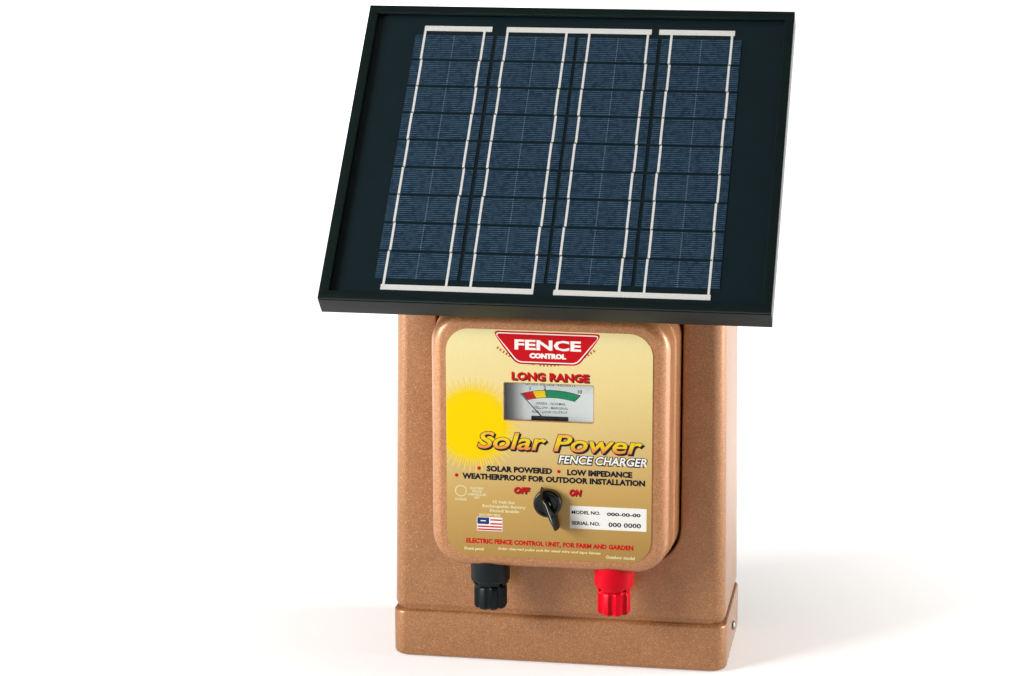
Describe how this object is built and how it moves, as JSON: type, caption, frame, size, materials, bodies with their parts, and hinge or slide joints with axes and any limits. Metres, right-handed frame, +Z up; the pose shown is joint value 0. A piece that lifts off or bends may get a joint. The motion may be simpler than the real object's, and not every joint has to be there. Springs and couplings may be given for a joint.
{
  "type": "solar fence energizer",
  "caption": "Weatherproof case with a sloped solar panel roof, a meter and switch module and two output terminals, which feeds pulses to an electric livestock fence.",
  "frame": {"origin": "middle of the case's underside, on the outer face of the bottom cover", "axes": "+Z up, +X to the right as seen from the front, -Y towards the front, where the module and its label face"},
  "size_m": [0.357, 0.2244, 0.5337],
  "materials": {
    "copper_paint": "moulded, copper metal-flake",
    "black_plastic": "glossy moulded",
    "terminal_black": "satin moulded",
    "terminal_red": "satin moulded",
    "label_print": "printed film, cream to gold",
    "dial_print": "printed card",
    "needle_black": "painted",
    "clear_plastic": "clear moulded",
    "plated_steel": "zinc plated",
    "brass": "turned",
    "rubber": "moulded",
    "board_green": "solder mask",
    "battery_case": "moulded",
    "red_wire": "insulated",
    "black_wire": "insulated",
    "panel_frame": "black anodised",
    "panel_glass": "tempered",
    "backsheet": "laminated",
    "solar_cell": "polycrystalline silicon with silver fingers"
  },
  "bodies": {
    "root": {"battery": "battery_case", "battery_lead_black": "black_wire", "battery_lead_red": "red_wire", "battery_strap": "plated_steel", "bottom_cover": "copper_paint", "bottom_gasket": "rubber", "bracket_bolt_left": "plated_steel", "bracket_bolt_right": "plated_steel", "cable_grommet": "rubber", "case_shell": "copper_paint", "cell_string_1": "solar_cell", "cell_string_2": "solar_cell", "cell_string_3": "solar_cell", "cell_string_4": "solar_cell", "circuit_board": "board_green", "cover_screw_left": "plated_steel", "cover_screw_right": "plated_steel", "face_label": "label_print", "fence_collar": "terminal_red", "fence_stud": "brass", "frame_rail_bottom": "panel_frame", "frame_rail_left": "panel_frame", "frame_rail_right": "panel_frame", "frame_rail_top": "panel_frame", "ground_collar": "terminal_black", "ground_stud": "brass", "hanger_plate": "plated_steel", "hanger_screw_lower": "plated_steel", "hanger_screw_upper": "plated_steel", "junction_box": "black_plastic", "junction_box_lid": "black_plastic", "meter_dial": "dial_print", "meter_housing": "black_plastic", "meter_window": "clear_plastic", "module_back_plate": "plated_steel", "module_bolt_left": "plated_steel", "module_bolt_right": "plated_steel", "module_can": "copper_paint", "module_gasket": "rubber", "panel_backsheet": "backsheet", "panel_bracket_left": "panel_frame", "panel_bracket_right": "panel_frame", "panel_cable": "black_wire", "panel_glass": "panel_glass", "panel_screw_1": "plated_steel", "panel_screw_2": "plated_steel", "panel_screw_3": "plated_steel", "panel_screw_4": "plated_steel", "pulse_transformer": "plated_steel", "storage_capacitor": "black_plastic", "switch_body": "black_plastic", "switch_nut": "plated_steel"},
    "switch": {"switch_shaft": "plated_steel", "switch_knob": "black_plastic"},
    "needle": {"meter_needle": "needle_black"},
    "ground_clamp_washer": {"ground_washer": "brass"},
    "ground_cap": {"ground_knob": "terminal_black"},
    "fence_clamp_washer": {"fence_washer": "brass"},
    "fence_cap": {"fence_knob": "terminal_red"}
  },
  "joints": [
    {"name": "switch_turn", "type": "hinge", "parent": "root", "child": "switch", "pos_m": [0, -0.1148, 0.156], "axis": [0, 1, 0], "range_deg": [0, 45]},
    {"name": "needle_swing", "type": "hinge", "parent": "root", "child": "needle", "pos_m": [0, -0.1036, 0.216], "axis": [0, 1, 0], "range_deg": [0, 86]},
    {"name": "ground_clamp", "type": "slide", "parent": "root", "child": "ground_clamp_washer", "axis": [0, 0, -1], "range_m": [0, 0.00376]},
    {"name": "ground_knob_turn", "type": "hinge", "parent": "ground_clamp_washer", "child": "ground_cap", "pos_m": [-0.051, -0.0945, 0.0793], "axis": [0, 0, -1], "range_deg": [0, 1080]},
    {"name": "fence_clamp", "type": "slide", "parent": "root", "child": "fence_clamp_washer", "axis": [0, 0, -1], "range_m": [0, 0.00376]},
    {"name": "fence_knob_turn", "type": "hinge", "parent": "fence_clamp_washer", "child": "fence_cap", "pos_m": [0.051, -0.0945, 0.0793], "axis": [0, 0, -1], "range_deg": [0, 1080]}
  ],
  "couplings": [
    {"joint": "ground_clamp", "follows": "ground_knob_turn", "m_per_rad": 0.00019894},
    {"joint": "fence_clamp", "follows": "fence_knob_turn", "m_per_rad": 0.00019894}
  ]
}
